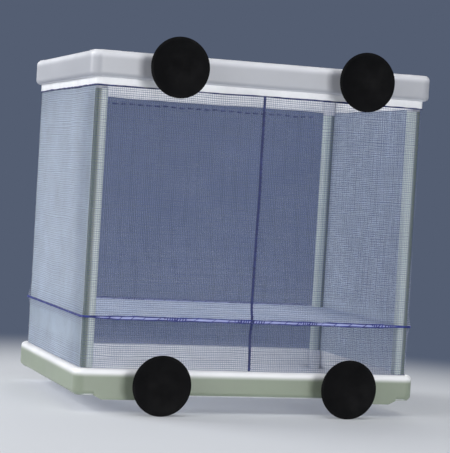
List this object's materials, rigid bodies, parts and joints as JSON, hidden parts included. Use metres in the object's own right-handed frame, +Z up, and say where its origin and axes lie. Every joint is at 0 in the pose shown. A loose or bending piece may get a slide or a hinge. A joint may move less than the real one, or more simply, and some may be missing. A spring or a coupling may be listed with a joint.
{
  "type": "fish breeding box",
  "caption": "Rectangular net breeding box for fry: white moulded top and bottom frames on corner posts, a fine net bag with a raised floor, and suction cups on the front.",
  "frame": {"origin": "middle of the part's footprint, on the level of its lowest point, which is the lower edge of the two bottom suction cups", "axes": "+Z up, +X along the long side to the right as seen from the cups' side, -Y out of the front towards the glass that the cups hold"},
  "size_m": [0.165, 0.13, 0.1694],
  "materials": {
    "frame_plastic": "moulded, satin white",
    "post_plastic": "moulded, satin white",
    "netting": "fine open mesh, bluish white",
    "hem_tape": "folded and sewn netting",
    "seam_thread": "overlocked thread, dark blue",
    "cup_rubber": "smooth, matte black"
  },
  "bodies": {
    "box": {"top_frame": "frame_plastic", "bottom_frame": "frame_plastic", "post_front_left": "post_plastic", "post_front_right": "post_plastic", "post_back_left": "post_plastic", "post_back_right": "post_plastic", "net_front_left": "netting", "net_front_right": "netting", "net_left": "netting", "net_right": "netting", "net_back": "netting", "net_floor": "netting", "top_hem": "hem_tape", "bottom_hem": "hem_tape", "front_seam": "seam_thread", "floor_seam": "seam_thread"},
    "cup_top_left": {"cup_top_left": "cup_rubber"},
    "cup_top_right": {"cup_top_right": "cup_rubber"},
    "cup_bottom_left": {"cup_bottom_left": "cup_rubber"},
    "cup_bottom_right": {"cup_bottom_right": "cup_rubber"}
  },
  "joints": [
    {"name": "cup_top_left_turn", "type": "hinge", "parent": "box", "child": "cup_top_left", "pos_m": [-0.045, -0.055, 0.1557], "axis": [0, -1, 0], "continuous": true},
    {"name": "cup_top_right_turn", "type": "hinge", "parent": "box", "child": "cup_top_right", "pos_m": [0.045, -0.055, 0.1557], "axis": [0, -1, 0], "continuous": true},
    {"name": "cup_bottom_left_turn", "type": "hinge", "parent": "box", "child": "cup_bottom_left", "pos_m": [-0.045, -0.055, 0.0137], "axis": [0, -1, 0], "continuous": true},
    {"name": "cup_bottom_right_turn", "type": "hinge", "parent": "box", "child": "cup_bottom_right", "pos_m": [0.045, -0.055, 0.0137], "axis": [0, -1, 0], "continuous": true}
  ]
}
